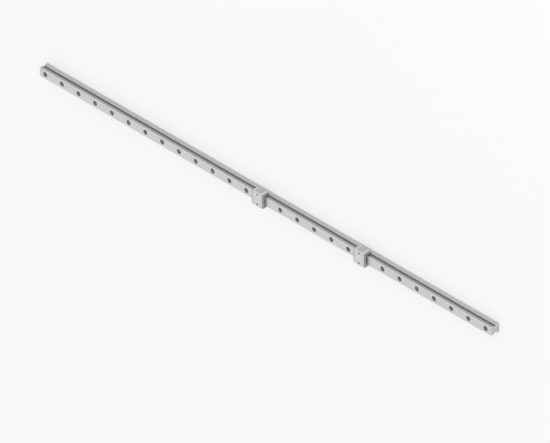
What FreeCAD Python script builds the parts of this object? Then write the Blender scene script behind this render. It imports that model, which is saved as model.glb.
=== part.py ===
import FreeCAD, Part
import math
import os

from FreeCAD import Vector

# A linear guide in millimetres: a profiled rail along X that rests on its base, with its screw
# holes facing up, and two short ball carriages that straddle its head.
# The origin is the middle of the rail's base. +Z is up, +Y is the back and +X is the right end.

# Rail section, the same all along the bar
rail_length = 1600.0
rail_height = 28.0
base_width = 28.0
base_land = 3.0  # upright strip at the foot of each flank
head_width = 26.0
head_depth = 8.6  # upright side of the head, from the top down
shoulder_drop = 3.0  # how far the head's underside slopes down to the neck
neck_width = 19.0
neck_height = 4.0  # upright wall of the neck
neck_round = 1.5
rail_break = 0.6  # chamfer of the long edges
end_break = 0.8  # chamfer round both ends

# Screw holes of the rail, in one row along the middle
hole_pitch = 60.0
end_distance = 20.0  # least distance from an end to the middle of the first hole
hole_diameter = 9.0
counterbore_diameter = 14.0
counterbore_depth = 12.0
counterbore_break = 0.4

# Carriages, each an upside-down U round the head of the rail
carriage_places = {"carriage_a": -13.0, "carriage_b": 346.0}  # middle of each, along the rail
carriage_length = 38.0  # over both seals
web_thickness = 7.5  # block above the rail
leg_thickness = 8.0
leg_reach = 15.0  # from the rail's top down to the feet of the legs
top_gap = 1.0
side_gap = 0.5
block_break = 0.8
foot_break = 0.6

# Tapped holes in the top of each block
tap_spacing = 30.0
tap_diameter = 5.0
tap_floor = 1.5  # metal left between a tapped hole and the channel
tap_break = 0.5

# Ball circuits: a loaded run beside the rail, a return run in the leg and a turn in each cap
ball_diameter = 3.175
ball_clearance = 0.3
ball_gap = 0.1  # least gap between two balls in a turn
return_wall = 1.0  # between the loaded run and the return run

# End caps and seals
cap_inset = 0.3  # how far the caps stay inside the block's outline, and the seals inside the caps'
cap_gap = 1.0  # from the caps to the rail
cap_wall = 1.2  # outside a turn
cap_corner = 1.4
seal_thickness = 2.0
lip_gap = 0.3  # from a seal's lip to the rail

# Screws that hold a seal and a cap to the block
screw_diameter = 3.0
screw_clearance = 0.3
screw_spacing = 20.0
screw_rise = 3.0  # from the top of the channel to the middle of a screw
screw_grip = 6.0  # length inside the block
screw_tip = 0.4
screw_head_diameter = 5.5
screw_head_height = 1.4
screw_head_break = 0.3
screw_seat = 0.8  # seal left under a screw head
socket_width = 2.0  # across the flats
socket_depth = 0.9

# Heights over the base
head_underside = rail_height - head_depth
neck_top = head_underside - shoulder_drop
neck_bottom = neck_top - neck_height
channel_top = rail_height + top_gap
carriage_top = channel_top + web_thickness
carriage_foot = rail_height - leg_reach
race_height = rail_height - head_depth / 2
screw_height = channel_top + screw_rise

# Distances to the side, from the middle plane
head_half = head_width / 2
neck_half = neck_width / 2
channel_half = head_half + side_gap
carriage_half = channel_half + leg_thickness
race_radius = ball_diameter / 2 + ball_clearance
load_side = head_half + side_gap / 2
return_side = load_side + 2 * race_radius + return_wall
turn_side = (load_side + return_side) / 2
turn_radius = return_side - turn_side

# Distances along the carriage, from its middle
cap_length = turn_radius + race_radius + cap_wall
seal_end = carriage_length / 2
cap_end = seal_end - seal_thickness
block_end = cap_end - cap_length
block_length = 2 * block_end
screw_seat_end = cap_end + screw_seat

same_place = 1e-6  # closer than this, two coordinates are the same
half_turn = 180
full_turn = 360
hex_sides = 6


def prism(outline, x_from, x_to):
    """Straight solid along X with a closed outline of (y, z) points."""
    points = [Vector(x_from, y, z) for y, z in outline]
    wire = Part.makePolygon(points + points[:1])
    return Part.Face(wire).extrude(Vector(x_to - x_from, 0, 0))


def turned(outline, place, axis):
    """Solid of revolution from (radius, distance along the axis) points."""
    points = [Vector(radius, 0, along) for radius, along in outline]
    wire = Part.makePolygon(points + points[:1])
    solid = Part.Face(wire).revolve(Vector(0, 0, 0), Vector(0, 0, 1), full_turn)
    solid.Placement = FreeCAD.Placement(place, FreeCAD.Rotation(Vector(0, 0, 1), axis))
    return solid


def rod(x_from, x_to, y, z, radius):
    """Round bar along X."""
    return Part.makeCylinder(radius, x_to - x_from, Vector(x_from, y, z), Vector(1, 0, 0))


def both_sides(half):
    """Closed outline from its +Y half."""
    return half + [(-y, z) for y, z in reversed(half)]


def edges_at(solid, y, z):
    """Edges along X at a height, on both sides of the middle plane."""
    def lies_there(point):
        return abs(abs(point.Y) - y) < same_place and abs(point.Z - z) < same_place
    return [edge for edge in solid.Edges if all(lies_there(end) for end in edge.Vertexes)]


def end_edges(solid, x):
    """Edges of the flat ends at distance x on both sides of the middle."""
    def lies_there(point):
        return abs(abs(point.X) - x) < same_place
    return [edge for edge in solid.Edges
            if abs(edge.BoundBox.XLength) < same_place and all(lies_there(end) for end in edge.Vertexes)]


def rail_outline():
    base_half = base_width / 2
    return both_sides([
        (base_half - rail_break, 0),
        (base_half, rail_break),
        (base_half, base_land),
        (neck_half, neck_bottom),
        (neck_half, neck_top),
        (head_half, head_underside),
        (head_half, rail_height - rail_break),
        (head_half - rail_break, rail_height),
    ])


def hole_places():
    """X of each screw hole: as many as the rail has room for, centred on its length."""
    steps = math.floor((rail_length - 2 * end_distance) / hole_pitch + same_place)
    return [(index - steps / 2) * hole_pitch for index in range(steps + 1)]


def screw_hole(x):
    """Counterbored through hole, as the solid that is cut from the rail."""
    hole_radius = hole_diameter / 2
    head_radius = counterbore_diameter / 2
    floor = rail_height - counterbore_depth
    outline = [
        (0, 0),
        (hole_radius, 0),
        (hole_radius, floor),
        (head_radius, floor),
        (head_radius, rail_height - counterbore_break),
        (head_radius + counterbore_break, rail_height),
        (0, rail_height),
    ]
    return turned(outline, Vector(x, 0, 0), Vector(0, 0, 1))


def rail():
    end = rail_length / 2
    bar = prism(rail_outline(), -end, end)
    neck_edges = edges_at(bar, neck_half, neck_bottom) + edges_at(bar, neck_half, neck_top)
    bar = bar.makeFillet(neck_round, neck_edges)
    bar = bar.makeChamfer(end_break, end_edges(bar, end))
    grooves = [rod(-end, end, side * load_side, race_height, race_radius) for side in (-1, 1)]
    return bar.cut(grooves + [screw_hole(x) for x in hole_places()])


def saddle(inset, corner, channel_side, channel_height, x_from, x_to):
    """Upside-down U round the rail, its outline set in from the block's."""
    outer = carriage_half - inset
    top = carriage_top - inset
    foot = carriage_foot + inset
    outline = both_sides([
        (channel_side, channel_height),
        (channel_side, foot),
        (outer - foot_break, foot),
        (outer, foot + foot_break),
        (outer, top - corner),
        (outer - corner, top),
    ])
    return prism(outline, x_from, x_to)


def tapped_hole(y):
    radius = tap_diameter / 2
    depth = web_thickness - tap_floor
    outline = [
        (0, -depth),
        (radius, -depth),
        (radius, -tap_break),
        (radius + tap_break, 0),
        (0, 0),
    ]
    return turned(outline, Vector(0, y, carriage_top), Vector(0, 0, 1))


def screw_bores(x_from, x_to):
    """Clearance holes for the two screws of one end."""
    radius = screw_diameter / 2 + screw_clearance
    return [rod(x_from, x_to, side * screw_spacing / 2, screw_height, radius) for side in (-1, 1)]


def block():
    body = saddle(0, block_break, channel_half, channel_top, -block_end, block_end)
    runs = [rod(-block_end, block_end, side * run, race_height, race_radius)
            for side in (-1, 1) for run in (load_side, return_side)]
    taps = [tapped_hole(side * tap_spacing / 2) for side in (-1, 1)]
    bore_floor = block_end - screw_grip - screw_clearance
    threads = screw_bores(bore_floor, block_end) + screw_bores(-block_end, -bore_floor)
    return body.cut(runs + taps + threads)


def end_cap():
    """Cap on the right end of a block, with a turn for each ball circuit."""
    body = saddle(cap_inset, cap_corner, head_half + cap_gap, channel_top, block_end, cap_end)
    turns = [Part.makeTorus(turn_radius, race_radius, Vector(block_end, side * turn_side, race_height))
             for side in (-1, 1)]
    return body.cut(turns + screw_bores(block_end, cap_end))


def end_seal():
    """Seal on the right end, with a tongue in each groove of the rail."""
    lip_half = head_half + lip_gap
    body = saddle(2 * cap_inset, cap_corner, lip_half, rail_height + lip_gap, cap_end, seal_end)
    tongues = [rod(cap_end, seal_end, side * load_side, race_height, race_radius - lip_gap)
               for side in (-1, 1)]
    recess_radius = screw_head_diameter / 2 + screw_clearance
    recesses = [rod(screw_seat_end, seal_end, side * screw_spacing / 2, screw_height, recess_radius)
                for side in (-1, 1)]
    return body.fuse(tongues).cut(recesses + screw_bores(cap_end, screw_seat_end))


def screw(side):
    """Socket screw in the right end, with its head in the seal's recess."""
    shank = screw_diameter / 2
    head = screw_head_diameter / 2
    tip = block_end - screw_grip - screw_seat_end
    outline = [
        (0, tip),
        (shank - screw_tip, tip),
        (shank, tip + screw_tip),
        (shank, 0),
        (head, 0),
        (head, screw_head_height - screw_head_break),
        (head - screw_head_break, screw_head_height),
        (0, screw_head_height),
    ]
    y = side * screw_spacing / 2
    body = turned(outline, Vector(screw_seat_end, y, screw_height), Vector(1, 0, 0))
    return body.cut(hex_socket(y, screw_seat_end + screw_head_height))


def hex_socket(y, x_mouth):
    corner = socket_width / math.sqrt(3)
    angles = [math.radians(full_turn * step / hex_sides) for step in range(hex_sides)]
    outline = [(y + corner * math.cos(angle), screw_height + corner * math.sin(angle)) for angle in angles]
    return prism(outline, x_mouth - socket_depth, x_mouth)


def circuit_point(distance):
    """Middle of a ball on the back circuit, at a distance along it from the left of its loaded run."""
    turn_length = math.pi * turn_radius
    on_return = distance >= block_length + turn_length
    along = distance - (block_length + turn_length) * on_return
    way = -1 if on_return else 1
    if along < block_length:
        return Vector(way * (along - block_end), turn_side - way * turn_radius, race_height)
    angle = (along - block_length) / turn_radius
    x = way * (block_end + turn_radius * math.sin(angle))
    return Vector(x, turn_side - way * turn_radius * math.cos(angle), race_height)


def ball_circuit(side):
    """All the balls of the front (-1) or back (1) circuit, spread evenly."""
    length = 2 * (block_length + math.pi * turn_radius)
    chord = (ball_diameter + ball_gap) / (2 * turn_radius)
    count = math.floor(length / (2 * turn_radius * math.asin(chord)))
    centres = [circuit_point(length * index / count) for index in range(count)]
    balls = [Part.makeSphere(ball_diameter / 2, Vector(c.x, side * c.y, c.z)) for c in centres]
    return Part.Compound(balls)


def carriage():
    """The pieces of one carriage by name, around the middle of the rail."""
    pieces = {"block": block(), "front_balls": ball_circuit(-1), "back_balls": ball_circuit(1)}
    for end, turn in (("right", 0), ("left", half_turn)):
        at_end = {
            "cap": end_cap(),
            "seal": end_seal(),
            "screw_1": screw(-1),
            "screw_2": screw(1),
        }
        for name, shape in at_end.items():
            pieces[f"{end}_{name}"] = shape.rotated(Vector(0, 0, 0), Vector(0, 0, 1), turn)
    return pieces


def guide():
    """Every piece of the guide by name."""
    pieces = {"rail": rail()}
    for name, x in carriage_places.items():
        for piece, shape in carriage().items():
            pieces[f"{name}_{piece}"] = shape.translated(Vector(x, 0, 0))
    return pieces


os.makedirs("parts", exist_ok=True)
for node, shape in guide().items():
    solids = shape.Solids
    piece = solids[0] if len(solids) == 1 else Part.Compound(solids)
    piece.exportStep(f"parts/{node}.step")
    print(f"{node}: {len(solids)} solid(s), {sum(solid.Volume for solid in solids):.1f} mm3")
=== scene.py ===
# %% [markdown]
# # A linear guide: one long rail and two short ball carriages
#
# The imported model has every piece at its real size, but its faces are bare. This lesson gives the pieces
# their looks: a ground rail with crisp counterbored holes, steel blocks with cut threads, moulded caps,
# rubber seals and polished balls. Each step is a cell, with a few words first on the real thing and on
# the choice made.

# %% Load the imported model
import math

import bmesh
import bpy
from mathutils import Matrix, Vector


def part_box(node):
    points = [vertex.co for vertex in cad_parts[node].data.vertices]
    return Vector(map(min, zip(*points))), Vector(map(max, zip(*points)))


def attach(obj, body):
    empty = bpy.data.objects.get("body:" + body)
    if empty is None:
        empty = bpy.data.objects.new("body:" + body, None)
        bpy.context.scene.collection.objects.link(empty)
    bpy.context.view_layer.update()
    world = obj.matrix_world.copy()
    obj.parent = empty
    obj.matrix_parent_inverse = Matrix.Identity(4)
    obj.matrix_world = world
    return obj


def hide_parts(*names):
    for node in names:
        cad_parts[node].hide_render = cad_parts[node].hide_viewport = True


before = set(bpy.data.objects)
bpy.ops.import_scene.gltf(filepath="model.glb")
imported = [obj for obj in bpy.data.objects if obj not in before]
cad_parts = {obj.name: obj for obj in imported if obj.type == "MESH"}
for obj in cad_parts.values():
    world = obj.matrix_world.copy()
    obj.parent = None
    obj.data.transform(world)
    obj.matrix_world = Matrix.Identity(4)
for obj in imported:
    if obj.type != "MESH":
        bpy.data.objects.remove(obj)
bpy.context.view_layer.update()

# %% [markdown]
# ## A short way to write node trees
#
# Materials and Geometry Nodes are both graphs of nodes. Adding each node and link by hand takes many
# lines and hides the idea, so two small classes do it. `Value` wraps a socket, and arithmetic on it
# adds Math nodes, so a mask can be written as `1 - groove`. `Graph.node` adds any other node: its
# settings are set first, because they decide which sockets the node has.

# %% Values that grow Math nodes
class Value:
    """What a socket carries. Arithmetic on it adds Math nodes to the graph."""

    def __init__(self, graph, socket):
        self.graph = graph
        self.socket = socket

    def __add__(self, other):
        return self.graph.maths("ADD", self, other)

    def __sub__(self, other):
        return self.graph.maths("SUBTRACT", self, other)

    def __rsub__(self, other):
        return self.graph.maths("SUBTRACT", other, self)

    def __mul__(self, other):
        return self.graph.maths("MULTIPLY", self, other)

    def __truediv__(self, other):
        return self.graph.maths("DIVIDE", self, other)

    def __rtruediv__(self, other):
        return self.graph.maths("DIVIDE", other, self)

    def __abs__(self):
        return self.graph.maths("ABSOLUTE", self)

    __radd__ = __add__
    __rmul__ = __mul__


print("a", Value.__name__, "takes + - * / and abs")

# %% Graphs that are filled node by node
class Graph:
    """A node tree that is filled one node at a time."""

    def __init__(self, tree):
        self.tree = tree

    def node(self, kind, settings, sockets):
        """Adds a node and gives its outputs by name. A list goes to a socket that takes several links."""
        made = self.tree.nodes.new(kind)
        for name, setting in settings.items():
            setattr(made, name, setting)
        for name, given in sockets.items():
            socket = next(s for s in made.inputs if s.enabled and name in (s.identifier, s.name))
            for one in given if isinstance(given, list) else [given]:
                if isinstance(one, Value):
                    self.tree.links.new(one.socket, socket)
                else:
                    socket.default_value = one
        return {socket.name: Value(self, socket) for socket in made.outputs if socket.enabled}

    def maths(self, operation, *terms):
        """Adds a Math node on one to three terms."""
        names = ("Value", "Value_001", "Value_002")
        return self.node("ShaderNodeMath", {"operation": operation}, dict(zip(names, terms)))["Value"]

    def vector(self, x=0.0, y=0.0, z=0.0):
        """Adds a vector of three numbers or values."""
        return self.node("ShaderNodeCombineXYZ", {}, {"X": x, "Y": y, "Z": z})["Vector"]


print("a", Graph.__name__, "takes any node, with its settings and its sockets")

# %% [markdown]
# ## The rail's section
#
# A guide rail is drawn and ground to one section all along: a wide base, a narrow neck, and a head with
# a ball groove in each side. The outline could be a curve with a bevel, but points in code let the
# rounds and the groove be exact, and let the ends be chamfered by moving the same outline inwards. Sizes
# are in millimetres, as on a drawing, and become metres only where a mesh is made.

# %% Sizes of the section
MM = 0.001
rail_low, rail_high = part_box("rail")
rail_height = (rail_high.z - rail_low.z) / MM
base_half = (rail_high.y - rail_low.y) / MM / 2
base_land = 3.0  # upright strip at the foot of each flank
head_half = 13.0
head_underside = 19.4
neck_half = 9.5
neck_bottom = 12.4
neck_top = 16.4
neck_round = 1.5
rail_break = 0.6  # chamfer of the long edges
race_side = 13.25  # middle of the balls that carry the load, from the middle plane
race_height = 23.7
race_radius = 1.8875
print(f"rail section {2 * base_half:.0f} mm wide and {rail_height:.0f} mm high")

# %% Rounds as points
round_steps = 8


def arc(middle, start, end):
    """Points on the short arc round a middle, from one point to another."""
    first = start - middle
    last = end - middle
    turn = math.atan2(first.cross(last), first.dot(last))
    return [middle + Matrix.Rotation(turn * step / round_steps, 2) @ first for step in range(round_steps + 1)]


def fillet(before, corner, after, radius):
    """Points of the round that replaces a corner."""
    back = (before - corner).normalized()
    onward = (after - corner).normalized()
    half = back.angle(onward) / 2
    middle = corner + (back + onward).normalized() * radius / math.sin(half)
    reach = radius / math.tan(half)
    return arc(middle, corner + back * reach, corner + onward * reach)


print(f"every round is drawn with {round_steps} straight steps")

# %% Outline of the rail
def race_arc(wall, radius, start, way):
    """Groove or tongue on an upright wall, round the middle of the balls.

    Start is 1 to begin at its top and -1 at its foot. Way is 1 where it goes outwards and -1 inwards.
    """
    middle = Vector((race_side, race_height))
    mouth = math.sqrt(radius ** 2 - (race_side - wall) ** 2)
    first = Vector((wall, race_height + start * mouth))
    furthest = middle + Vector((way * radius, 0))
    last = Vector((wall, race_height - start * mouth))
    return arc(middle, first, furthest) + arc(middle, furthest, last)[1:]


def both_sides(half):
    """Closed outline from its +Y half."""
    return half + [Vector((-point.x, point.y)) for point in reversed(half)]


def rail_outline():
    """Section of the rail as (y, z) points."""
    land = Vector((base_half, base_land))
    neck_low = Vector((neck_half, neck_bottom))
    neck_high = Vector((neck_half, neck_top))
    shoulder = Vector((head_half, head_underside))
    return both_sides([
        Vector((base_half - rail_break, 0)),
        Vector((base_half, rail_break)),
        land,
        *fillet(land, neck_low, neck_high, neck_round),
        *fillet(neck_low, neck_high, shoulder, neck_round),
        shoulder,
        *race_arc(head_half, race_radius, -1, -1),
        Vector((head_half, rail_height - rail_break)),
        Vector((head_half - rail_break, rail_height)),
    ])


print(f"the rail's section has {len(rail_outline())} corners")

# %% [markdown]
# ## Bars from an outline
#
# Rings of an outline along X are joined into a closed bar. A ring can be moved inwards, which makes the
# chamfer that a rail gets after it is cut to length. The same helper later makes the blocks, caps and
# seals, so it takes any outline and any list of rings.

# %% The bare bar
def inset(outline, distance):
    """The outline moved inwards, with every edge kept parallel."""
    moved = []
    for before, here, after in zip(outline[-1:] + outline[:-1], outline, outline[1:] + outline[:1]):
        into = [(end - start).normalized().orthogonal() for start, end in ((before, here), (here, after))]
        moved.append(here + (into[0] + into[1]) * distance / (1 + into[0].dot(into[1])))
    return moved


def bar(name, outline, stations):
    """Closed mesh along X, with one ring of the outline at each (x, inset) station."""
    shape = bmesh.new()
    rings = [[shape.verts.new((x * MM, point.x * MM, point.y * MM)) for point in inset(outline, depth)]
             for x, depth in stations]
    for ring, onward in zip(rings, rings[1:]):
        for index in range(len(ring)):
            shape.faces.new((ring[index - 1], ring[index], onward[index], onward[index - 1]))
    shape.faces.new(reversed(rings[0]))
    shape.faces.new(rings[-1])
    mesh = bpy.data.meshes.new(name)
    shape.to_mesh(mesh)
    shape.free()
    return mesh


def chamfered(start, end, depth):
    """Stations of a bar whose two ends are chamfered."""
    return [(start, depth), (start + depth, 0), (end - depth, 0), (end, depth)]


end_break = 0.8
rail_end = (rail_high.x - rail_low.x) / MM / 2
rail_bar = bar("rail_bar", rail_outline(), chamfered(-rail_end, rail_end, end_break))
print(f"the bare bar is {2 * rail_end:.0f} mm long and has {len(rail_bar.polygons)} faces")

# %% [markdown]
# ## Tools for Geometry Nodes
#
# A tree starts with named inputs for its sizes, so that one tree can serve another size of the same
# thing. It ends in Realize Instances and Set Material. Several trees can follow each other on one piece,
# as several machines do, and the result is taken as a plain mesh.

# %% Start and close a tree
crease_angle = math.radians(28)
speck = 0.001 * MM  # corners nearer than this are one


def start_tree(name, lengths):
    """New geometry tree with named lengths; gives its graph and its inputs by name."""
    tree = bpy.data.node_groups.new(name, "GeometryNodeTree")
    tree.interface.new_socket("Geometry", in_out="INPUT", socket_type="NodeSocketGeometry")
    for label in lengths:
        tree.interface.new_socket(label, in_out="INPUT", socket_type="NodeSocketFloat")
    tree.interface.new_socket("Material", in_out="INPUT", socket_type="NodeSocketMaterial")
    tree.interface.new_socket("Geometry", in_out="OUTPUT", socket_type="NodeSocketGeometry")
    graph = Graph(tree)
    return graph, graph.node("NodeGroupInput", {}, {})


def close_tree(graph, geometry, material):
    """Realizes the instances, joins specks, smooths all but sharp edges, sets the material, ends the tree."""
    real = graph.node("GeometryNodeRealizeInstances", {}, {"Geometry": geometry})["Geometry"]
    clean = graph.node("GeometryNodeMergeByDistance", {}, {"Geometry": real, "Distance": speck})["Geometry"]
    smooth = graph.node("GeometryNodeSetShadeSmooth", {"domain": "FACE"}, {"Geometry": clean})["Geometry"]
    angle = graph.node("GeometryNodeInputMeshEdgeAngle", {}, {})["Unsigned Angle"]
    crease = graph.node("FunctionNodeCompare", {"operation": "GREATER_THAN"}, {"A": angle, "B": crease_angle})
    creased = graph.node(
        "GeometryNodeSetShadeSmooth", {"domain": "EDGE"},
        {"Geometry": smooth, "Selection": crease["Result"], "Shade Smooth": False})["Geometry"]
    painted = graph.node(
        "GeometryNodeSetMaterial", {}, {"Geometry": creased, "Material": material})["Geometry"]
    graph.node("NodeGroupOutput", {}, {"Geometry": painted})


print(f"edges over {math.degrees(crease_angle):.0f} degrees stay sharp")

# %% Run trees on a piece
def add_tree(piece, graph, lengths, material):
    """Modifier that runs a tree on a piece, with its lengths given in millimetres."""
    modifier = piece.modifiers.new(graph.tree.name, "NODES")
    modifier.node_group = graph.tree
    items = graph.tree.interface.items_tree
    sockets = {item.name: item.identifier for item in items if item.in_out == "INPUT"}
    for label, length in lengths.items():
        modifier[sockets[label]] = length * MM
    modifier[sockets["Material"]] = material


def make_piece(name, mesh, cuts, material):
    """Object whose plain mesh is the result of every (tree, lengths) cut on a mesh."""
    piece = bpy.data.objects.new(name, mesh)
    bpy.context.scene.collection.objects.link(piece)
    for graph, lengths in cuts:
        add_tree(piece, graph, lengths, material)
    even = piece.modifiers.new("even normals", "WEIGHTED_NORMAL")
    even.keep_sharp = True
    depsgraph = bpy.context.evaluated_depsgraph_get()
    plain = bpy.data.meshes.new_from_object(piece.evaluated_get(depsgraph), depsgraph=depsgraph)
    piece.modifiers.clear()
    piece.data = plain
    plain.name = name
    return piece


print("a made piece holds the result as a plain mesh, with no modifiers left")

# %% [markdown]
# ## Drilling the rail
#
# At every step of the pitch the rail has a through hole and a counterbore that sinks the screw head. In
# the shop a drill, a counterbore and a countersink follow each other at each place. Geometry Nodes can do
# the same: three cutters stand on one row of points, and one Mesh Boolean takes them all from the bar.

# %% Cutters
bore_corners = 64
hole_corners = 48
past = 2.0  # cutters reach this many times as far as they cut, to end clear of the metal


def cylinder(graph, corners, radius, depth):
    """Round cutter that stands upright, with its middle at the origin."""
    return graph.node("GeometryNodeMeshCylinder", {}, {
        "Vertices": corners, "Radius": radius, "Depth": depth})["Mesh"]


def countersink(graph, radius, depth):
    """Cone that breaks the edge of a round hole. It starts at its narrow end."""
    return graph.node("GeometryNodeMeshCone", {}, {
        "Vertices": bore_corners,
        "Radius Top": radius + depth * past,
        "Radius Bottom": radius,
        "Depth": depth * past,
    })["Mesh"]


def raised(graph, geometry, height):
    """The geometry moved up."""
    lift = graph.vector(z=height)
    return graph.node("GeometryNodeTransform", {}, {"Geometry": geometry, "Translation": lift})["Geometry"]


def cut_at(graph, geometry, points, cutters):
    """The geometry less every cutter at every point."""
    placed = [
        graph.node("GeometryNodeInstanceOnPoints", {}, {"Points": points, "Instance": cutter})["Instances"]
        for cutter in cutters]
    return graph.node(
        "GeometryNodeMeshBoolean", {"operation": "DIFFERENCE", "solver": "EXACT"},
        {"Mesh 1": geometry, "Mesh 2": placed})["Mesh"]


print(f"a drill has {hole_corners} corners and a counterbore {bore_corners}")

# %% Drill tree
def drill_tree():
    graph, given = start_tree("drill_rail", [
        "Pitch", "First Hole", "Height", "Hole Radius", "Bore Radius", "Bore Depth", "Break"])
    count = graph.maths("ROUND", given["First Hole"] / given["Pitch"] * -2.0) + 1.0
    row = graph.node("GeometryNodeMeshLine", {"mode": "OFFSET"}, {
        "Count": count,
        "Start Location": graph.vector(given["First Hole"]),
        "Offset": graph.vector(given["Pitch"]),
    })["Mesh"]
    drill = cylinder(graph, hole_corners, given["Hole Radius"], given["Height"] * 2.0 * past)
    bore = cylinder(graph, bore_corners, given["Bore Radius"], given["Bore Depth"] * 2.0)
    sink = countersink(graph, given["Bore Radius"], given["Break"])
    drilled = cut_at(graph, given["Geometry"], row, [
        drill,
        raised(graph, bore, given["Height"]),
        raised(graph, sink, given["Height"] - given["Break"]),
    ])
    close_tree(graph, drilled, given["Material"])
    return graph


rail_drill = drill_tree()
print("the drill tree has", len(rail_drill.tree.nodes), "nodes")

# %% [markdown]
# ## Helpers for finishes
#
# A finish starts from the place on the piece, in millimetres, so that a scratch or a machining mark has
# its true size and stays put when the piece moves. Most finishes here need the same few things: noise
# drawn out along an axis, a soft step from one zone to another, a mix of two colours and a bump.

# %% Steel greys
def grey(level, tint=0.015):
    """A grey with a little blue in it, as steel has."""
    return (level, level * (1 + tint / 2), level * (1 + tint), 1.0)


print("steel grey at half level is", [round(part, 3) for part in grey(0.5)])

# %% Finish helpers
class Finish(Graph):
    """A material whose patterns are laid out in millimetres on the piece."""

    def __init__(self, name):
        self.material = bpy.data.materials.new(name)
        self.material.use_nodes = True
        super().__init__(self.material.node_tree)
        self.tree.nodes.clear()
        self.place = self.node("ShaderNodeTexCoord", {}, {})["Object"]
        axes = self.node("ShaderNodeSeparateXYZ", {}, {"Vector": self.place})
        self.x, self.y, self.z = (axes[axis] / MM for axis in "XYZ")

    def noise(self, lengths, detail=3.0):
        """Noise from 0 to 1 whose marks have these lengths along X, Y and Z in millimetres."""
        stretch = tuple(1 / (length * MM) for length in lengths)
        mapped = self.node("ShaderNodeMapping", {}, {"Vector": self.place, "Scale": stretch})["Vector"]
        return self.node("ShaderNodeTexNoise", {}, {"Vector": mapped, "Scale": 1.0, "Detail": detail})["Fac"]

    def distance(self, across, upward):
        """Distance from a line, from the two distances at right angles to it."""
        return self.maths("SQRT", across * across + upward * upward)

    def above(self, value, limit, soft):
        """Mask that rises from 0 to 1 over a soft band round a limit."""
        return self.node(
            "ShaderNodeMapRange", {"interpolation_type": "SMOOTHSTEP"},
            {"Value": value, "From Min": limit - soft / 2, "From Max": limit + soft / 2})["Result"]

    def below(self, value, limit, soft):
        """Mask that falls from 1 to 0 over a soft band round a limit."""
        return 1 - self.above(value, limit, soft)

    def either(self, first, second):
        """Mask of two zones together."""
        return self.maths("MAXIMUM", first, second)

    def mix(self, mask, under, over):
        """Colour that goes from one to the other as the mask rises."""
        return self.node(
            "ShaderNodeMix", {"data_type": "RGBA"}, {"Factor": mask, "A": under, "B": over})["Result"]

    def greys(self, mask, low, high):
        """Steel grey that goes from a low to a high level as the mask rises."""
        return self.mix(mask, grey(low), grey(high))

    def close(self, colour, roughness, height, depth, **constants):
        """Ends the finish. Height, from 0 to 1, is the relief of the surface, depth millimetres deep."""
        normal = self.node("ShaderNodeBump", {}, {"Height": height, "Distance": depth * MM, "Strength": 1.0})
        sockets = {name.replace("_", " ").title(): constant for name, constant in constants.items()}
        sockets.update({"Base Color": colour, "Roughness": roughness, "Normal": normal["Normal"]})
        shader = self.node("ShaderNodeBsdfPrincipled", {}, sockets)["BSDF"]
        self.node("ShaderNodeOutputMaterial", {}, {"Surface": shader})
        return self.material


print("a", Finish.__name__, "is laid out in millimetres on its piece")

# %% [markdown]
# ## Ground rail steel
#
# The head and the base are ground, so fine marks run along the rail. The sides of the head are a shade
# darker: partly the tint that hardening leaves, partly painted shade that sets them apart from the top. The
# neck is left as drawn, duller than the ground faces, and its root under the head is painted dark as shade.
# Balls have polished the grooves, cutters have left rings in the holes, a saw has left lines across the
# ends, and handling has brightened the long edges. All these zones follow from the section, so masks from
# x, y, z and the hole pitch find them without any painting.

# %% Rail finish
hole_pitch = 60.0
bore_radius = 7.0
bore_break = 0.4
floor_rings = 2.2  # tool marks to the millimetre on the floor of a counterbore
wall_rings = 1.7  # and on its wall
hair = 0.05  # width in millimetres of the crispest border between two zones


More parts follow.
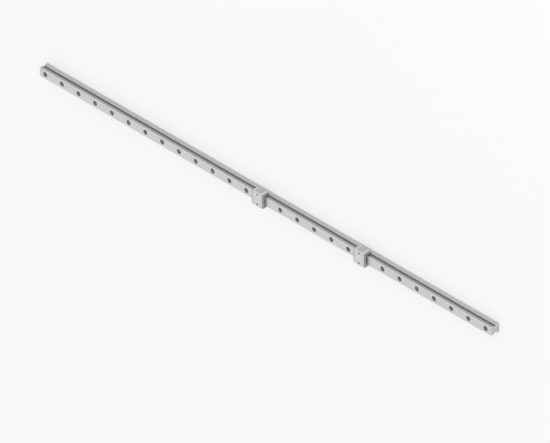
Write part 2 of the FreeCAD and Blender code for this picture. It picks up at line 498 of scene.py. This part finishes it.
def rail_finish():
    steel = Finish("ground_rail_steel")
    side = abs(steel.y)
    hole_x = steel.maths("WRAP", steel.x, hole_pitch / 2, -hole_pitch / 2)
    from_hole = steel.distance(hole_x, steel.y)
    from_race = steel.distance(side - race_side, steel.z - race_height)

    grind = steel.noise((60, 0.25, 0.25))
    drift = steel.noise((320, 9, 9), 2.0)
    skin = steel.noise((14, 3, 3), 5.0)
    scuff = steel.noise((9, 1.5, 1.5), 4.0)
    saw = steel.noise((2, 40, 0.35), 2.0)
    rings = steel.maths("FRACT", from_hole * floor_rings + steel.z * wall_rings)

    below_top = steel.below(steel.z, rail_height - hair, hair)
    in_hole = steel.below(from_hole, bore_radius + bore_break, 2 * hair) * below_top
    on_end = steel.above(abs(steel.x), rail_end - hair, hair)
    in_race = steel.below(from_race, race_radius + 2 * hair, 2 * hair)
    in_neck = (
        steel.above(steel.z, base_land + 0.3, 0.6)
        * steel.below(steel.z, head_underside + 2 * hair, 4 * hair)
        * steel.above(side, neck_half - 0.6, 0.4)
        * (1 - on_end))
    # painted shade: the root of the neck under the head, where shade falls
    deep = steel.below(side - skin * 0.8, neck_half + 0.4, 0.8)
    # the sides of the head, painted a shade darker than the top: partly hardening tint, partly painted shade
    on_side = (
        steel.above(side, head_half - 2 * hair, 2 * hair)
        * steel.above(steel.z, head_underside, 4 * hair))
    top_edge = steel.above(side + steel.z + scuff * 0.5, head_half + rail_height - rail_break, 0.3)
    end_edge = steel.above(abs(steel.x) + scuff * 0.5, rail_end - end_break + 0.2, 0.4) * (1 - on_end)
    worn = steel.either(top_edge, end_edge) * (1 - in_hole)

    marks = drift * 0.5 + grind * 0.5
    colour = steel.greys(marks, 0.5, 0.72)
    # a darker copy of the top's greys on the head's sides, partly painted shade
    colour = steel.mix(on_side, colour, steel.greys(marks, 0.3, 0.44))
    colour = steel.mix(in_neck, colour, steel.greys(skin, 0.46, 0.58))
    # painted shade: the neck's root is coloured near black
    colour = steel.mix(in_neck * deep, colour, steel.greys(skin, 0.1, 0.2))
    colour = steel.mix(in_race, colour, grey(0.46))
    colour = steel.mix(on_end, colour, steel.greys(saw, 0.5, 0.6))
    # the bore walls: machined steel, with painted light in a lighter grey that lifts the shade inside the
    # holes
    colour = steel.mix(in_hole, colour, grey(0.68))
    colour = steel.mix(worn, colour, grey(0.74))
    roughness = 0.27 + grind * 0.12 + drift * 0.06 + in_neck * 0.2 - in_race * 0.14 + in_hole * 0.2
    roughness = roughness + on_end * 0.12 - worn * 0.08
    plain = (1 - in_hole) * (1 - in_race) * (1 - on_end)
    height = grind * plain + rings * in_hole + skin * in_neck + saw * on_end
    return steel.close(colour, roughness, height, 0.01, metallic=1.0)


rail_steel = rail_finish()
print("the rail's finish has", len(rail_steel.node_tree.nodes), "nodes")

# %% [markdown]
# ## The finished rail
#
# The bare bar goes through the drill tree once. The drilled bar stands for the imported rail, whose round
# holes are coarser, so it replaces that node and rides on the same body.

# %% Drill the bar
hole_radius = 4.5
bore_depth = 12.0
rail = make_piece("guide_rail", rail_bar, [(rail_drill, {
    "Pitch": hole_pitch,
    "First Hole": -hole_pitch * (rail_end // hole_pitch),
    "Height": rail_height,
    "Hole Radius": hole_radius,
    "Bore Radius": bore_radius,
    "Bore Depth": bore_depth,
    "Break": bore_break,
})], rail_steel)
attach(rail, "rail")
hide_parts("rail")
print(f"drilled rail: {len(rail.data.polygons)} faces, box {[round(c, 4) for c in rail.dimensions]}")

# %% [markdown]
# ## The carriages
#
# Each carriage is an upside-down U that straddles the head: a steel block in the middle, then at each end
# a moulded cap that turns the balls round, and a rubber seal that wipes the rail. All three have nearly
# the same outline, each a little smaller than the one before, so one function gives it: the side that
# faces the rail, then the foot, then the outer side and the top.

# %% Sizes and outline of a carriage
bodies = ("carriage_a", "carriage_b")
block_low, block_high = (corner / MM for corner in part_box("carriage_a_block"))
block_end = (block_high.x - block_low.x) / 2
carriage_half = block_high.y
carriage_top = block_high.z
carriage_foot = block_low.z
middles = {body: sum(corner.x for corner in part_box(f"{body}_block")) / 2 / MM for body in bodies}


def saddle_outline(inner, step_in, foot_round, corner, corner_round):
    """Outline of a U from the points of its inner side, set in from the block's. A round of 0 stays sharp."""
    outer = carriage_half - step_in
    top = carriage_top - step_in
    foot = carriage_foot + step_in
    inner_foot = Vector((inner[-1].x, foot))
    toe = Vector((outer, foot))
    shoulder = Vector((outer, top - corner))
    brow = Vector((outer - corner, top))
    middle = Vector((0, top))
    if not corner_round:
        toe_cut = [Vector((outer - foot_round, foot)), Vector((outer, foot + foot_round))]
        return both_sides([*inner, inner_foot, *toe_cut, shoulder, brow])
    return both_sides([
        *inner,
        *fillet(inner[-1], inner_foot, toe, corner_round / 2),
        *fillet(inner_foot, toe, shoulder, foot_round),
        *fillet(toe, shoulder, brow, corner_round),
        *fillet(shoulder, brow, middle, corner_round),
    ])


print("carriages", {body: round(middle, 2) for body, middle in middles.items()}, "mm from the rail's middle")

# %% [markdown]
# ## Bores, ball turns and threads
#
# Three more trees do the carriage's machining. The first drills a pair of bores along the carriage, for
# the returning balls or for screws. The second hollows a cap where the balls turn: a circle swept round a
# circle. The third taps two holes in the top of a block: after the drill, a spiral curve carries the
# section of a thread groove down the hole, as the tooth of a tap goes.

# %% Bore tree
quarter_turn = math.pi / 2


def pair(graph, x, side, z):
    """Two points, one each side of the middle plane."""
    return graph.node("GeometryNodeMeshLine", {"mode": "OFFSET"}, {
        "Count": 2,
        "Start Location": graph.vector(x, side, z),
        "Offset": graph.vector(y=side * -2.0),
    })["Mesh"]


def bore_tree():
    graph, given = start_tree("bore_pair", ["Start", "Length", "Side", "Height", "Radius"])
    bore = cylinder(graph, hole_corners, given["Radius"], given["Length"])
    along = graph.node("GeometryNodeTransform", {}, {
        "Geometry": bore, "Rotation": (0, quarter_turn, 0)})["Geometry"]
    points = pair(graph, given["Start"] + given["Length"] / 2.0, given["Side"], given["Height"])
    close_tree(graph, cut_at(graph, given["Geometry"], points, [along]), given["Material"])
    return graph


bore_pair = bore_tree()
print("the bore tree has", len(bore_pair.tree.nodes), "nodes")

# %% Turn tree
turn_corners = 62  # not a multiple of 4, so that no corner lies in the cap's own end face


def turn_tree():
    graph, given = start_tree("ball_turns", ["Place", "Side", "Height", "Turn Radius", "Run Radius"])
    path = graph.node("GeometryNodeCurvePrimitiveCircle", {}, {
        "Resolution": turn_corners, "Radius": given["Turn Radius"]})["Curve"]
    section = graph.node("GeometryNodeCurvePrimitiveCircle", {}, {
        "Resolution": hole_corners, "Radius": given["Run Radius"]})["Curve"]
    ring = graph.node("GeometryNodeCurveToMesh", {}, {"Curve": path, "Profile Curve": section})["Mesh"]
    points = pair(graph, given["Place"], given["Side"], given["Height"])
    close_tree(graph, cut_at(graph, given["Geometry"], points, [ring]), given["Material"])
    return graph


ball_turns = turn_tree()
print("the turn tree has", len(ball_turns.tree.nodes), "nodes")

# %% Tap tree
tap_depth = 6.0
thread_pitch = 1.0
thread_lead = 0.5  # turns of the thread that lie over the top of the hole
thread_turns = tap_depth / thread_pitch + thread_lead
thread_steps = 32
flank = math.tan(math.radians(30))
root_share = 1 / 16  # half the flat at the bottom of a groove, as a share of the pitch
inside_share = 0.4  # how far a groove's section reaches into the hole, as a share of its depth


def tap_tree():
    graph, given = start_tree("tap_pair", [
        "Middle", "Side", "Top", "Radius", "Depth", "Break", "Thread Pitch", "Thread Depth"])
    drill = cylinder(graph, hole_corners, given["Radius"], given["Depth"] * 2.0)
    sink = countersink(graph, given["Radius"], given["Break"])
    spiral = graph.node("GeometryNodeCurveSpiral", {}, {
        "Resolution": thread_steps,
        "Rotations": thread_turns,
        "Start Radius": given["Radius"],
        "End Radius": given["Radius"],
        "Height": given["Thread Pitch"] * thread_turns,
        "Reverse": True,
    })["Curve"]
    upright = graph.node("GeometryNodeSetCurveNormal", {"mode": "Z_UP"}, {"Curve": spiral})["Curve"]
    root = given["Thread Pitch"] * root_share
    inside = given["Thread Depth"] * -inside_share
    mouth = root + (given["Thread Depth"] - inside) * flank
    groove = graph.node("GeometryNodeCurvePrimitiveQuadrilateral", {"mode": "POINTS"}, {
        "Point 1": graph.vector(given["Thread Depth"], root),
        "Point 2": graph.vector(inside, mouth),
        "Point 3": graph.vector(inside, mouth * -1.0),
        "Point 4": graph.vector(given["Thread Depth"], root * -1.0),
    })["Curve"]
    thread = graph.node("GeometryNodeCurveToMesh", {}, {
        "Curve": upright, "Profile Curve": groove, "Fill Caps": True})["Mesh"]
    start = given["Thread Pitch"] * (thread_lead - thread_turns)
    cutters = [drill, raised(graph, sink, given["Break"] * -1.0), raised(graph, thread, start)]
    points = pair(graph, given["Middle"], given["Side"], given["Top"])
    close_tree(graph, cut_at(graph, given["Geometry"], points, cutters), given["Material"])
    return graph


tap_pair = tap_tree()
print("the tap tree has", len(tap_pair.tree.nodes), "nodes")

# %% [markdown]
# ## Block steel
#
# A block is ground on the top, where a table is bolted to it, and the marks run along it. The threads are
# coloured darker, and the edges are brighter where they have been handled. Both carriages share
# this finish, so each place on them is first measured from the middle of its own carriage: they stand a
# whole step apart, and wrapping x by that step does it.

# %% Block finish
carriage_step = middles["carriage_b"] - middles["carriage_a"]
tap_side = 15.0
tap_radius = 2.5
thread_depth = 0.5
block_break = 0.8


def carriage_x(finish):
    """Distance along X from the middle of the carriage that a place is on."""
    return finish.maths("WRAP", finish.x - middles["carriage_a"], carriage_step / 2, -carriage_step / 2)


def block_finish():
    steel = Finish("ground_block_steel")
    x = carriage_x(steel)
    side = abs(steel.y)
    from_tap = steel.distance(x, side - tap_side)

    grind = steel.noise((40, 0.25, 0.25))
    drift = steel.noise((30, 9, 9), 2.0)
    scuff = steel.noise((2, 2, 2), 4.0)

    below_top = steel.below(steel.z, carriage_top - hair, 2 * hair)
    in_tap = steel.below(from_tap, tap_radius + thread_depth + hair, 2 * hair) * below_top
    on_side = steel.below(steel.z, carriage_top - block_break - 2 * hair, 4 * hair) * (1 - in_tap)
    top_edge = steel.above(side + steel.z + scuff * 0.6, carriage_half + carriage_top - block_break, 0.3)
    end_edge = steel.above(abs(x) + scuff * 0.4, block_end, 0.3)
    worn = steel.either(top_edge, end_edge)

    marks = drift * 0.5 + grind * 0.5
    colour = steel.greys(marks, 0.52, 0.74)
    colour = steel.mix(on_side, colour, steel.greys(marks, 0.42, 0.58))
    colour = steel.mix(worn, colour, grey(0.78))
    # the tapped holes are coloured a darker grey
    colour = steel.mix(in_tap, colour, grey(0.42))
    roughness = 0.27 + grind * 0.13 + on_side * 0.06 - worn * 0.08 + in_tap * 0.05
    return steel.close(colour, roughness, grind * (1 - in_tap) + scuff * on_side * 0.3, 0.008, metallic=1.0)


block_steel = block_finish()
print("the block's finish has", len(block_steel.node_tree.nodes), "nodes")

# %% [markdown]
# ## The blocks
#
# A block is a short length of its own section: chamfered along the top, with a ball groove in each leg
# opposite the rail's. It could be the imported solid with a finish, but that has plain holes, and a thread
# catches the light in a way that no bump map does. So it is made again and tapped.

# %% Outline and bores of a block
channel_half = 13.5
channel_top = 29.0
foot_break = 0.6
block_edge = 0.25  # chamfer round both ends
return_side = 18.025  # middle of the balls that run back, from the middle plane
screw_side = 10.0
screw_height = 32.0
screw_bore = 1.8
screw_bore_depth = 6.3
overrun = 1.0  # cutters along X start and end this far outside the metal


def block_outline():
    inner = [Vector((channel_half, channel_top)), *race_arc(channel_half, race_radius, 1, 1)]
    return saddle_outline(inner, 0.0, foot_break, block_break, 0)


def screw_cut(start, length, radius):
    """Bores for the two screws of one end."""
    return bore_pair, {
        "Start": start, "Length": length, "Side": screw_side, "Height": screw_height, "Radius": radius}


print(f"the block's section has {len(block_outline())} corners")

# %% Make the blocks
def dress(piece, body, node):
    """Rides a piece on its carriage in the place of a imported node."""
    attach(piece, body)
    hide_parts(node)


for body, middle in middles.items():
    start, end = middle - block_end, middle + block_end
    mesh = bar(f"{body}_block_bar", block_outline(), chamfered(start, end, block_edge))
    run = {"Start": start - overrun, "Length": 2 * (block_end + overrun),
           "Side": return_side, "Height": race_height, "Radius": race_radius}
    tap = {"Middle": middle, "Side": tap_side, "Top": carriage_top, "Radius": tap_radius, "Depth": tap_depth,
           "Break": thread_depth, "Thread Pitch": thread_pitch, "Thread Depth": thread_depth}
    cuts = [
        (bore_pair, run),
        screw_cut(start - overrun, screw_bore_depth + overrun, screw_bore),
        screw_cut(end - screw_bore_depth, screw_bore_depth + overrun, screw_bore),
        (tap_pair, tap),
    ]
    block = make_piece(f"{body}_steel_block", mesh, cuts, block_steel)
    dress(block, body, f"{body}_block")
    print(f"{block.name}: {len(block.data.polygons)} faces")

# %% [markdown]
# ## Cap plastic
#
# The caps are moulded in a light grey plastic, near the steel's own grey, so that a carriage looks like one
# block from afar and its pieces show by their finish from near. The plastic has a fine, even grain from the
# mould, a faint cloudiness where the melt has flowed, and one thin parting line round the cap where the two
# halves of the mould met. The edges are a little smoother from handling.

# %% Cap finish
parting_place = block_end + 1.1
parting_half = 0.05
rub_reach = 2.0  # how far a rubbed corner reaches in from the block's sharp one


def cap_finish():
    plastic = Finish("moulded_cap_plastic")
    along = abs(carriage_x(plastic))
    grain = plastic.noise((0.3, 0.3, 0.3), 4.0)
    flow = plastic.noise((12, 7, 7), 3.0)
    parting = plastic.below(abs(along - parting_place), parting_half, hair)
    corner = abs(plastic.y) + plastic.z + flow * 2.0
    rubbed = plastic.above(corner, carriage_half + carriage_top - rub_reach, 1.0)
    colour = plastic.mix(flow, (0.55, 0.55, 0.54, 1), (0.62, 0.62, 0.61, 1))
    colour = plastic.mix(parting, colour, (0.68, 0.68, 0.67, 1))
    roughness = 0.44 + grain * 0.16 - rubbed * 0.1
    return plastic.close(colour, roughness, grain * (1 - rubbed * 0.6) * 0.5 + parting, 0.04)


cap_plastic = cap_finish()
print("the cap's finish has", len(cap_plastic.node_tree.nodes), "nodes")

# %% [markdown]
# ## The caps
#
# A cap has rounded corners, because sharp ones don't fill in a mould. The rings at its outer end follow a
# quarter circle, which rounds that rim in the same way. A cap is made at the right end and turned end for
# end for the left one by running its stations the other way.

# %% Outline and ends of a cap
cap_end = 17.0
cap_step = 0.3  # how far a cap stays inside the block's outline, and a seal inside the cap's
cap_channel = 14.0
cap_corner = 1.4
mould_round = 0.4
rim_steps = 4
turn_side = (race_side + return_side) / 2
turn_radius = (return_side - race_side) / 2


def rounded(start, end, radius):
    """Stations of a bar whose far end has a rounded rim."""
    angles = [quarter_turn * step / rim_steps for step in range(rim_steps + 1)]
    return [(start, 0.0)] + [
        (end - radius + radius * math.sin(angle), radius * (1 - math.cos(angle))) for angle in angles]


def at_end(stations, middle, way):
    """The stations at the right (1) or left (-1) end of a carriage, in order along X."""
    return sorted((middle + way * x, depth) for x, depth in stations)


def end_cut(middle, way, near, far, radius):
    """Screw bores of one end, between two distances from the carriage's middle."""
    start = middle + (near if way > 0 else -far)
    return screw_cut(start, far - near, radius)


def cap_outline():
    inner = [Vector((cap_channel, channel_top))]
    return saddle_outline(inner, cap_step, 2 * mould_round, cap_corner, 3 * mould_round)


print(f"the cap's section has {len(cap_outline())} corners")

# %% Make the caps
ends = {"left": -1, "right": 1}
for body, middle in middles.items():
    for end, way in ends.items():
        mesh = bar(f"{body}_{end}_cap_bar", cap_outline(),
                   at_end(rounded(block_end, cap_end, mould_round), middle, way))
        turns = {"Place": middle + way * block_end, "Side": turn_side, "Height": race_height,
                 "Turn Radius": turn_radius, "Run Radius": race_radius}
        cuts = [
            (ball_turns, turns),
            end_cut(middle, way, block_end - overrun, cap_end + overrun, screw_bore),
        ]
        cap = make_piece(f"{body}_{end}_moulded_cap", mesh, cuts, cap_plastic)
        dress(cap, body, f"{body}_{end}_cap")
        print(f"{cap.name}: {len(cap.data.polygons)} faces")

# %% [markdown]
# ## Seal rubber
#
# The seals are grey rubber with a dull, slightly dusty skin. Where they wipe the rail, oil has made the
# lip darker and smoother. The lip's zone is found from its distance to the rail's sides and top.

# %% Seal finish
lip_width = 1.2


def seal_finish():
    rubber = Finish("wiper_seal_rubber")
    side = abs(rubber.y)
    grain = rubber.noise((0.5, 0.5, 0.5), 5.0)
    dust = rubber.noise((5, 5, 5), 4.0)
    oily = rubber.below(side + dust, head_half + lip_width + 0.5, 0.8) * rubber.below(
        rubber.z + dust, rail_height + lip_width + 0.5, 0.8)
    colour = rubber.mix(dust, (0.25, 0.255, 0.26, 1), (0.36, 0.365, 0.37, 1))
    colour = rubber.mix(oily, colour, (0.16, 0.163, 0.167, 1))
    roughness = 0.6 + grain * 0.2 - oily * 0.25
    return rubber.close(colour, roughness, grain, 0.02)


seal_rubber = seal_finish()
print("the seal's finish has", len(seal_rubber.node_tree.nodes), "nodes")

# %% [markdown]
# ## The seals
#
# A seal is a rubber plate on a cap. Its inner edge follows the head closely, with a tongue in each ball
# groove, and two round recesses hold the screw heads. It is made as the caps are, with one more cut.

# %% Make the seals
seal_end = 19.0
seal_seat = 17.8  # floor of the recesses, under the screw heads
lip_half = 13.3
lip_top = 28.3
tongue_radius = 1.5875
recess_radius = 3.05


def seal_outline():
    inner = [Vector((lip_half, lip_top)), *race_arc(lip_half, tongue_radius, 1, -1)]
    return saddle_outline(inner, 2 * cap_step, 2 * mould_round, cap_corner, 3 * mould_round)


for body, middle in middles.items():
    for end, way in ends.items():
        mesh = bar(f"{body}_{end}_seal_bar", seal_outline(),
                   at_end(rounded(cap_end, seal_end, mould_round), middle, way))
        cuts = [
            end_cut(middle, way, cap_end - overrun, seal_end + overrun, screw_bore),
            end_cut(middle, way, seal_seat, seal_end + overrun, recess_radius),
        ]
        seal = make_piece(f"{body}_{end}_rubber_seal", mesh, cuts, seal_rubber)
        dress(seal, body, f"{body}_{end}_seal")
        print(f"{seal.name}: {len(seal.data.polygons)} faces")

# %% [markdown]
# ## Balls and screws
#
# The imported balls and screws already have the right shape, finely divided, so they stay and only get
# finishes. A bearing ball is polished to a mirror with a breath of haze from the oil. A screw head is
# turned, which leaves rings round its own middle, and its rim is bright. Its socket is painted dark, as
# painted shade for the hole.

# %% Ball and screw finishes
head_radius = 2.75
head_face = 19.2
socket_reach = 1.2
socket_shade = 0.08  # how far below the head's face a socket turns dark
turning_rings = 7.0  # tool marks to the millimetre on a screw head


def ball_finish():
    steel = Finish("polished_ball_steel")
    haze = steel.noise((1.5, 1.5, 1.5), 3.0)
    streak = steel.noise((0.2, 2, 2), 2.0)
    colour = steel.greys(haze, 0.74, 0.83)
    return steel.close(colour, 0.06 + haze * 0.06 + streak * 0.03, streak, 0.0008, metallic=1.0)


def screw_finish():
    steel = Finish("turned_screw_steel")
    along = abs(carriage_x(steel))
    from_axis = steel.distance(abs(steel.y) - screw_side, steel.z - screw_height)
    rings = steel.maths("FRACT", from_axis * turning_rings)
    smear = steel.noise((1.5, 1.5, 1.5), 3.0)
    in_socket = (
        steel.below(from_axis, socket_reach, 2 * hair)
        * steel.below(along, head_face - socket_shade, socket_shade))
    rim = steel.above(from_axis + smear * 0.2, head_radius - 0.15, 0.2)
    colour = steel.greys(smear, 0.42, 0.55)
    colour = steel.mix(rim, colour, grey(0.72))
    # painted shade: the socket is coloured dark grey for the shade inside it
    colour = steel.mix(in_socket, colour, grey(0.2))
    roughness = 0.26 + smear * 0.14 + in_socket * 0.15 - rim * 0.06
    return steel.close(colour, roughness, rings * (1 - in_socket) * (1 - rim), 0.012, metallic=1.0)


kept_finishes = {"balls": ball_finish(), "screw": screw_finish()}
for kind, material in kept_finishes.items():
    nodes = [node for name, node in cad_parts.items() if kind in name]
    for node in nodes:
        node.material_slots[0].material = material
    print(f"{material.name} on {len(nodes)} packed pieces")

# %% [markdown]
# ## Floor
#
# The guide lies on a plain white floor that keeps its shadow. A white floor lit as the steel is would look
# pale grey, so for what the camera and the reflections see, part of it is a plain white glow. The rest is
# matt and takes the shadow. Right under the rail there is no glow, because no light gets there, and the
# holes would look shallow if their bottoms shone.

# %% Floor finish
glow_share = 0.6
white = (1.0, 1.0, 1.0, 1.0)
matt_white = (0.9, 0.9, 0.9, 1.0)


def floor_finish():
    material = bpy.data.materials.new("floor_white")
    material.use_nodes = True
    graph = Graph(material.node_tree)
    graph.tree.nodes.clear()
    place = graph.node("ShaderNodeTexCoord", {}, {})["Object"]
    axes = graph.node("ShaderNodeSeparateXYZ", {}, {"Vector": place})
    beside = graph.maths("GREATER_THAN", abs(axes["Y"]), base_half * MM)
    beyond = graph.maths("GREATER_THAN", abs(axes["X"]), rail_end * MM)
    clear = graph.maths("MAXIMUM", beside, beyond)
    rays = graph.node("ShaderNodeLightPath", {}, {})
    seen = rays["Is Camera Ray"] + rays["Is Glossy Ray"] + rays["Is Transmission Ray"]
    share = graph.maths("MINIMUM", seen, 1.0) * clear * glow_share
    matt = graph.node("ShaderNodeBsdfDiffuse", {}, {"Color": matt_white})["BSDF"]
    glow = graph.node("ShaderNodeEmission", {}, {"Color": white, "Strength": 1.0})["Emission"]
    surface = graph.node(
        "ShaderNodeMixShader", {}, {"Fac": share, "Shader": matt, "Shader_001": glow})["Shader"]
    graph.node("ShaderNodeOutputMaterial", {}, {"Surface": surface})
    return material


floor_white = floor_finish()
print("the floor's finish has", len(floor_white.node_tree.nodes), "nodes")

# %% Lay the floor
floor_half = 12.0
floor_mesh = bpy.data.meshes.new("floor")
floor_corners = [(x * floor_half, y * floor_half, 0) for x, y in ((-1, -1), (1, -1), (1, 1), (-1, 1))]
floor_mesh.from_pydata(floor_corners, [], [(0, 1, 2, 3)])
floor_mesh.materials.append(floor_white)
floor = bpy.data.objects.new("floor", floor_mesh)
bpy.context.scene.collection.objects.link(floor)
print(f"floor {2 * floor_half:.0f} m square")

# %% [markdown]
# ## Light
#
# Steel shows what it mirrors more than what falls on it, so the room is a soft white gradient with two wide
# lamps in it. The key lamp stands low, behind on the right, and throws the shadow. The card stands at the
# front left, where this camera sees it mirrored in the drilled face, and lifts that face above the sides.
# Both are dim for their size: steel mirrors a lamp and the room behind it together, and would turn white.

# %% World
horizon_level = 1.0
zenith_level = 0.85
gradient_start, gradient_end = 0.05, 0.9


def studio_world():
    world = bpy.data.worlds.new("studio")
    world.use_nodes = True
    sky = Graph(world.node_tree)
    sky.tree.nodes.clear()
    direction = sky.node("ShaderNodeTexCoord", {}, {})["Generated"]
    height = sky.node("ShaderNodeSeparateXYZ", {}, {"Vector": direction})["Z"]
    level = sky.node("ShaderNodeMapRange", {"interpolation_type": "SMOOTHSTEP"}, {
        "Value": height,
        "From Min": gradient_start,
        "From Max": gradient_end,
        "To Min": horizon_level,
        "To Max": zenith_level,
    })["Result"]
    shade = sky.node("ShaderNodeCombineColor", {}, {"Red": level, "Green": level, "Blue": level})["Color"]
    backdrop = sky.node("ShaderNodeBackground", {}, {"Color": shade, "Strength": 1.0})["Background"]
    sky.node("ShaderNodeOutputWorld", {}, {"Surface": backdrop})
    return world


bpy.context.scene.world = studio_world()
print(f"the room goes from {horizon_level} at the horizon to {zenith_level} overhead")

# %% Lamps
def softbox(name, place, width, length, watts):
    """Soft rectangular lamp that faces the middle of the rail."""
    lamp = bpy.data.lights.new(name, "AREA")
    lamp.shape = "RECTANGLE"
    lamp.size = width
    lamp.size_y = length
    lamp.energy = watts
    holder = bpy.data.objects.new(name, lamp)
    holder.location = place
    holder.rotation_euler = (-Vector(place)).to_track_quat("-Z", "Y").to_euler()
    bpy.context.scene.collection.objects.link(holder)


softbox("key", place=(1.1, 2.3, 1.45), width=5.0, length=3.4, watts=20.0)
softbox("card", place=(-1.5, -1.5, 1.6), width=3.0, length=1.6, watts=2.0)
print("lamps in watts:", {light.name: light.energy for light in bpy.data.lights})

# %% [markdown]
# ## Camera
#
# The guide is seen along the diagonal of a cube, as in an isometric drawing, where X, Y and Z are all
# foreshortened alike. A very long lens far away keeps parallel edges parallel. The camera is turned about
# its axis so that the rail runs from upper left to lower right with its drilled face in front. It is placed
# by one point: the middle of that face has a known column and row in the picture.

# %% Place the camera
picture_width, picture_height = 550, 443
middle_column, middle_row = 263.11, 200.35
pixel = 2.504 * MM
focal_length, film_width = 1200, 36
right = Vector((1, 0, -1)).normalized()
up = Vector((-1, 2, -1)).normalized()
back = Vector((1, 1, 1)).normalized()
aim = (Vector((0, 0, rail_height * MM))
       + right * (picture_width / 2 - middle_column) * pixel
       - up * (picture_height / 2 - middle_row) * pixel)
lens = bpy.data.cameras.new("camera")
lens.lens = focal_length
lens.sensor_width = film_width
distance = picture_width * pixel * focal_length / film_width
lens.clip_end = 2 * distance
camera = bpy.data.objects.new("camera", lens)
turned = Matrix((right, up, back)).transposed().to_4x4()
camera.matrix_world = Matrix.Translation(aim + back * distance) @ turned
bpy.context.scene.collection.objects.link(camera)
bpy.context.scene.camera = camera
bpy.context.scene.view_settings.view_transform = "Standard"
print(f"camera {distance:.1f} m from the rail")
